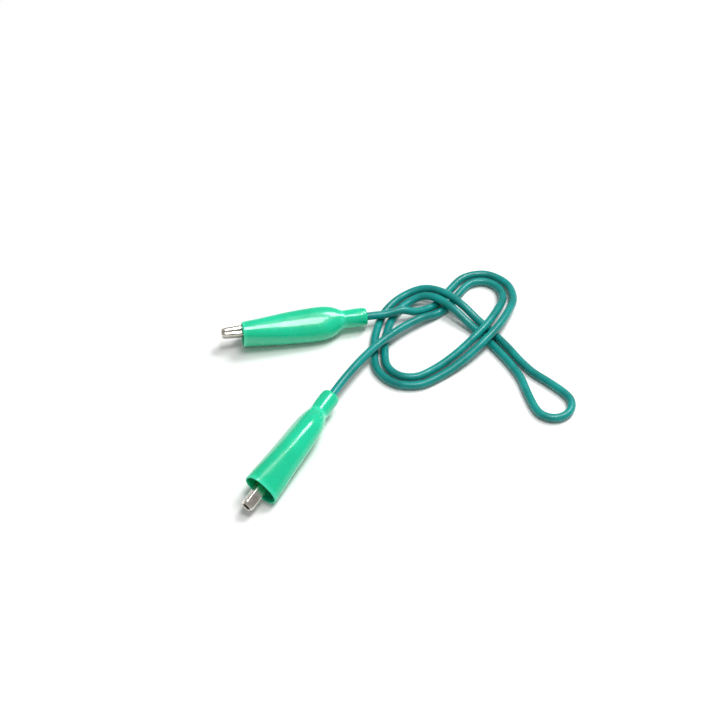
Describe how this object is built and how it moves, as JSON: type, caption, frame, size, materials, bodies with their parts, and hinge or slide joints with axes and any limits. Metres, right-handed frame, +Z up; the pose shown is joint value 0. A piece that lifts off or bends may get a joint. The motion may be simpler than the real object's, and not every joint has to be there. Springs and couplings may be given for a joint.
{
  "type": "alligator clip lead",
  "caption": "Test lead: a thin insulated wire with a sprung toothed metal clip in a soft tapered boot at each end, doubled and tied in a loose knot.",
  "frame": {"origin": "middle of the base of the box around the two clips, on the surface that the lead lies on", "axes": "+Z up from the surface, the shortest extent; +Y along the two clips, the longest extent without the wire; the knotted wire lies on the +X side and the jaws point towards -X"},
  "size_m": [0.102, 0.092, 0.0101],
  "materials": {
    "boot": "glossy translucent soft vinyl",
    "wire": "satin vinyl insulation",
    "nickel": "bright nickel plated sheet steel",
    "steel": "plain spring steel",
    "tinned": "tinned copper strands"
  },
  "bodies": {
    "lead": {"lead_wire": "wire", "boot_a": "boot", "fixed_jaw_a": "nickel", "rivet_a": "steel", "spring_a": "steel", "wire_end_a": "wire", "conductor_a": "tinned", "boot_b": "boot", "fixed_jaw_b": "nickel", "rivet_b": "steel", "spring_b": "steel", "wire_end_b": "wire", "conductor_b": "tinned"},
    "jaw_a": {"moving_jaw_a": "nickel"},
    "jaw_b": {"moving_jaw_b": "nickel"}
  },
  "joints": [
    {"name": "jaw_a_hinge", "type": "hinge", "parent": "lead", "child": "jaw_a", "pos_m": [-0.00574, 0.0284, 0.00507], "axis": [0.1182, -0.4072, 0.9056], "range_deg": [0, 22], "stiffness_Nm_per_rad": 0.12, "deforming": ["spring_a", "boot_a"]},
    {"name": "jaw_b_hinge", "type": "hinge", "parent": "lead", "child": "jaw_b", "pos_m": [-0.00284, -0.0221, 0.00414], "axis": [-0.6732, 0.3665, 0.6423], "range_deg": [0, 22], "stiffness_Nm_per_rad": 0.12, "deforming": ["spring_b", "boot_b"]}
  ]
}
